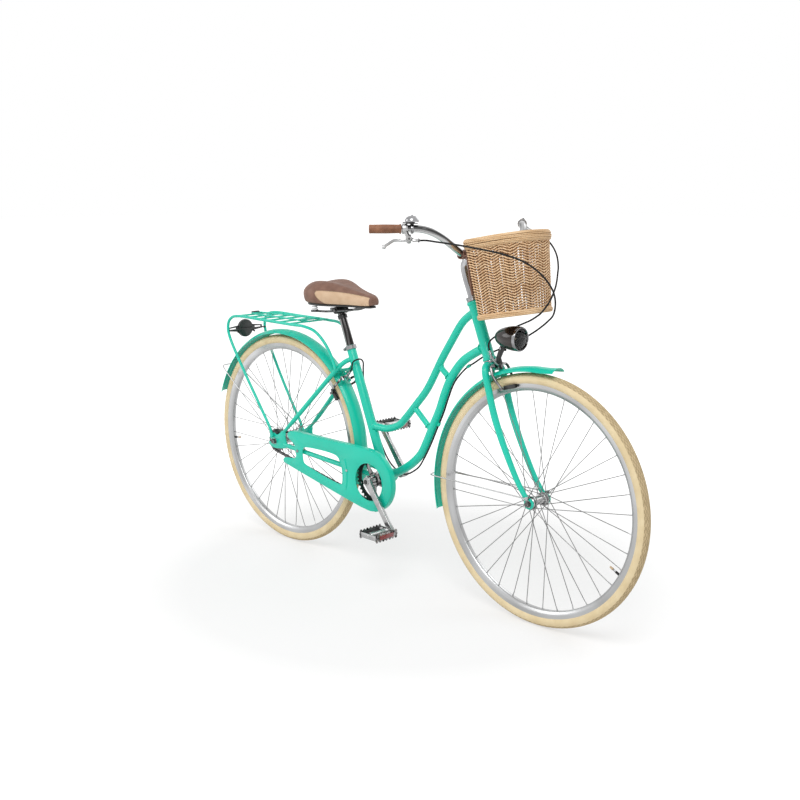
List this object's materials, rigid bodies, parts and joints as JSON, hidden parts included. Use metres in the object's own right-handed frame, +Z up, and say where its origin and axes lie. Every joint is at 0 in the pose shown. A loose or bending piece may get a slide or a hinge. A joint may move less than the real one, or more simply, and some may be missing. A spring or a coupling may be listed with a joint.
{
  "type": "city bicycle",
  "caption": "Step-through city bicycle with swan-neck frame, front basket, rear carrier, mudguards, chain guard, rim brakes and crossed wire spokes.",
  "frame": {"origin": "on the ground, midway between the two wheel axles", "axes": "+X forward, +Y to the rider's left, +Z up; the drive side is at negative Y"},
  "size_m": [1.745, 0.6526, 1.1111],
  "materials": {
    "basket": "woven cane",
    "bell": "polished",
    "bell_lever": "satin",
    "bottom_bracket_shell": "gloss",
    "carrier": "gloss",
    "carrier_clip": "plain",
    "chain": "plain",
    "chain_guard": "gloss",
    "chainring": "satin",
    "fork": "gloss",
    "front_axle": "plain",
    "front_brake_left_arm": "polished",
    "front_brake_right_arm": "polished",
    "front_cable": "satin",
    "front_hub": "polished",
    "front_mudguard": "gloss",
    "front_mudguard_stay": "bright",
    "front_rim": "polished",
    "front_tyre": "matt",
    "handlebar": "polished",
    "head_tube": "gloss",
    "headlight_bracket": "satin",
    "headlight_lens": "clear",
    "headlight_shell": "gloss",
    "left_brake_bracket": "polished",
    "left_brake_lever": "polished",
    "left_chain_stay": "gloss",
    "left_crank": "polished",
    "left_grip": "stitched",
    "left_pedal": "polished",
    "left_saddle_spring": "polished",
    "left_seat_stay": "gloss",
    "lower_tube": "gloss",
    "rear_axle": "plain",
    "rear_brake_left_arm": "polished",
    "rear_brake_right_arm": "polished",
    "rear_cable": "satin",
    "rear_cable_loop": "satin",
    "rear_hub": "polished",
    "rear_mudguard": "gloss",
    "rear_mudguard_stay": "bright",
    "rear_reflector": "satin",
    "rear_rim": "polished",
    "rear_tyre": "matt",
    "right_brake_bracket": "polished",
    "right_brake_lever": "polished",
    "right_chain_stay": "gloss",
    "right_crank": "polished",
    "right_grip": "stitched",
    "right_pedal": "polished",
    "right_saddle_spring": "polished",
    "right_seat_stay": "gloss",
    "saddle_cover": "smooth",
    "saddle_frame": "satin",
    "seat_post": "polished",
    "seat_tube": "gloss",
    "sprocket": "plain",
    "stay_bridge": "gloss",
    "stem": "polished",
    "upper_tube": "gloss"
  },
  "bodies": {
    "frame": {"head_tube": "head_tube", "upper_tube": "upper_tube", "lower_tube": "lower_tube", "seat_tube": "seat_tube", "bottom_bracket_shell": "bottom_bracket_shell", "right_chain_stay": "right_chain_stay", "left_chain_stay": "left_chain_stay", "right_seat_stay": "right_seat_stay", "left_seat_stay": "left_seat_stay", "stay_bridge": "stay_bridge", "chain_guard": "chain_guard", "chain": "chain", "rear_axle": "rear_axle", "carrier": "carrier", "rear_reflector": "rear_reflector", "rear_mudguard": "rear_mudguard", "rear_mudguard_stay": "rear_mudguard_stay", "rear_cable": "rear_cable"},
    "steering": {"fork": "fork", "front_axle": "front_axle", "stem": "stem", "handlebar": "handlebar", "right_grip": "right_grip", "left_grip": "left_grip", "right_brake_bracket": "right_brake_bracket", "left_brake_bracket": "left_brake_bracket", "bell": "bell", "basket": "basket", "headlight_bracket": "headlight_bracket", "front_mudguard": "front_mudguard", "front_mudguard_stay": "front_mudguard_stay", "front_cable": "front_cable", "rear_cable_loop": "rear_cable_loop"},
    "front_wheel": {"front_hub": "front_hub", "front_rim": "front_rim", "front_tyre": "front_tyre"},
    "rear_wheel": {"rear_hub": "rear_hub", "rear_rim": "rear_rim", "rear_tyre": "rear_tyre"},
    "cranks": {"chainring": "chainring", "right_crank": "right_crank", "left_crank": "left_crank"},
    "freewheel": {"sprocket": "sprocket"},
    "right_pedal": {"right_pedal": "right_pedal"},
    "left_pedal": {"left_pedal": "left_pedal"},
    "right_lever": {"right_brake_lever": "right_brake_lever"},
    "left_lever": {"left_brake_lever": "left_brake_lever"},
    "front_right_arm": {"front_brake_right_arm": "front_brake_right_arm"},
    "front_left_arm": {"front_brake_left_arm": "front_brake_left_arm"},
    "rear_right_arm": {"rear_brake_right_arm": "rear_brake_right_arm"},
    "rear_left_arm": {"rear_brake_left_arm": "rear_brake_left_arm"},
    "bell_lever": {"bell_lever": "bell_lever"},
    "headlight": {"headlight_shell": "headlight_shell", "headlight_lens": "headlight_lens"},
    "seat_post": {"seat_post": "seat_post"},
    "saddle": {"saddle_cover": "saddle_cover", "saddle_frame": "saddle_frame", "right_saddle_spring": "right_saddle_spring", "left_saddle_spring": "left_saddle_spring"},
    "clip": {"carrier_clip": "carrier_clip"}
  },
  "joints": [
    {"name": "steering_turn", "type": "hinge", "parent": "frame", "child": "steering", "pos_m": [0.3155, 0, 0.8], "axis": [-0.3714, 0, 0.9285], "range_deg": [-60, 60], "deforming": ["rear_cable_loop"]},
    {"name": "front_wheel_spin", "type": "hinge", "parent": "steering", "child": "front_wheel", "pos_m": [0.5244, 0, 0.35], "axis": [0, 1, 0], "continuous": true},
    {"name": "rear_wheel_spin", "type": "hinge", "parent": "frame", "child": "rear_wheel", "pos_m": [-0.5244, 0, 0.35], "axis": [0, 1, 0], "continuous": true},
    {"name": "crank_turn", "type": "hinge", "parent": "frame", "child": "cranks", "pos_m": [-0.058, 0, 0.306], "axis": [0, 1, 0], "continuous": true},
    {"name": "sprocket_turn", "type": "hinge", "parent": "frame", "child": "freewheel", "pos_m": [-0.5244, 0, 0.35], "axis": [0, 1, 0], "continuous": true},
    {"name": "right_pedal_spin", "type": "hinge", "parent": "cranks", "child": "right_pedal", "pos_m": [0.04109, -0.085, 0.17658], "axis": [0, 1, 0], "continuous": true},
    {"name": "left_pedal_spin", "type": "hinge", "parent": "cranks", "child": "left_pedal", "pos_m": [-0.15709, 0.085, 0.43542], "axis": [0, 1, 0], "continuous": true},
    {"name": "right_lever_pull", "type": "hinge", "parent": "steering", "child": "right_lever", "pos_m": [0.28937, -0.25773, 1.04904], "axis": [-0.5042, 0.3987, -0.766], "range_deg": [0, 25], "stiffness_Nm_per_rad": 1.5, "springref_deg": -20.05},
    {"name": "left_lever_pull", "type": "hinge", "parent": "steering", "child": "left_lever", "pos_m": [0.28937, 0.25773, 1.04904], "axis": [0.5042, 0.3987, 0.766], "range_deg": [0, 25], "stiffness_Nm_per_rad": 1.5, "springref_deg": -20.05},
    {"name": "front_right_arm_close", "type": "hinge", "parent": "steering", "child": "front_right_arm", "pos_m": [0.37652, 0, 0.69753], "axis": [0.9285, 0, 0.3714], "range_deg": [0, 2.01]},
    {"name": "front_left_arm_close", "type": "hinge", "parent": "steering", "child": "front_left_arm", "pos_m": [0.37652, 0, 0.69753], "axis": [0.9285, 0, 0.3714], "range_deg": [-2.01, 0]},
    {"name": "rear_right_arm_close", "type": "hinge", "parent": "frame", "child": "rear_right_arm", "pos_m": [-0.23034, 0, 0.59557], "axis": [0.72, 0, -0.694], "range_deg": [0, 2.01]},
    {"name": "rear_left_arm_close", "type": "hinge", "parent": "frame", "child": "rear_left_arm", "pos_m": [-0.23034, 0, 0.59557], "axis": [0.72, 0, -0.694], "range_deg": [-2.01, 0]},
    {"name": "bell_lever_push", "type": "hinge", "parent": "steering", "child": "bell_lever", "pos_m": [0.2712, -0.2279, 1.0766], "axis": [0, 0, 1], "range_deg": [0, 25], "stiffness_Nm_per_rad": 0.02, "springref_deg": -20.05},
    {"name": "headlight_tilt", "type": "hinge", "parent": "steering", "child": "headlight", "pos_m": [0.3913, 0, 0.7538], "axis": [0, 1, 0], "range_deg": [0, 15]},
    {"name": "seat_post_height", "type": "slide", "parent": "frame", "child": "seat_post", "axis": [-0.3714, 0, 0.9285], "range_m": [-0.04, 0.09]},
    {"name": "saddle_tilt", "type": "hinge", "parent": "seat_post", "child": "saddle", "pos_m": [-0.2581, 0, 0.804], "axis": [0, 1, 0], "range_deg": [-8, 8]},
    {"name": "clip_lift", "type": "hinge", "parent": "frame", "child": "clip", "pos_m": [-0.41, 0, 0.7612], "axis": [0, 1, 0], "range_deg": [0, 70], "stiffness_Nm_per_rad": 0.5, "springref_deg": -28.65}
  ],
  "couplings": [
    {"joint": "sprocket_turn", "follows": "crank_turn", "ratio": 2.1111},
    {"joint": "front_right_arm_close", "follows": "left_lever_pull", "ratio": 0.08},
    {"joint": "front_left_arm_close", "follows": "left_lever_pull", "ratio": -0.08},
    {"joint": "rear_right_arm_close", "follows": "right_lever_pull", "ratio": 0.08},
    {"joint": "rear_left_arm_close", "follows": "right_lever_pull", "ratio": -0.08}
  ]
}
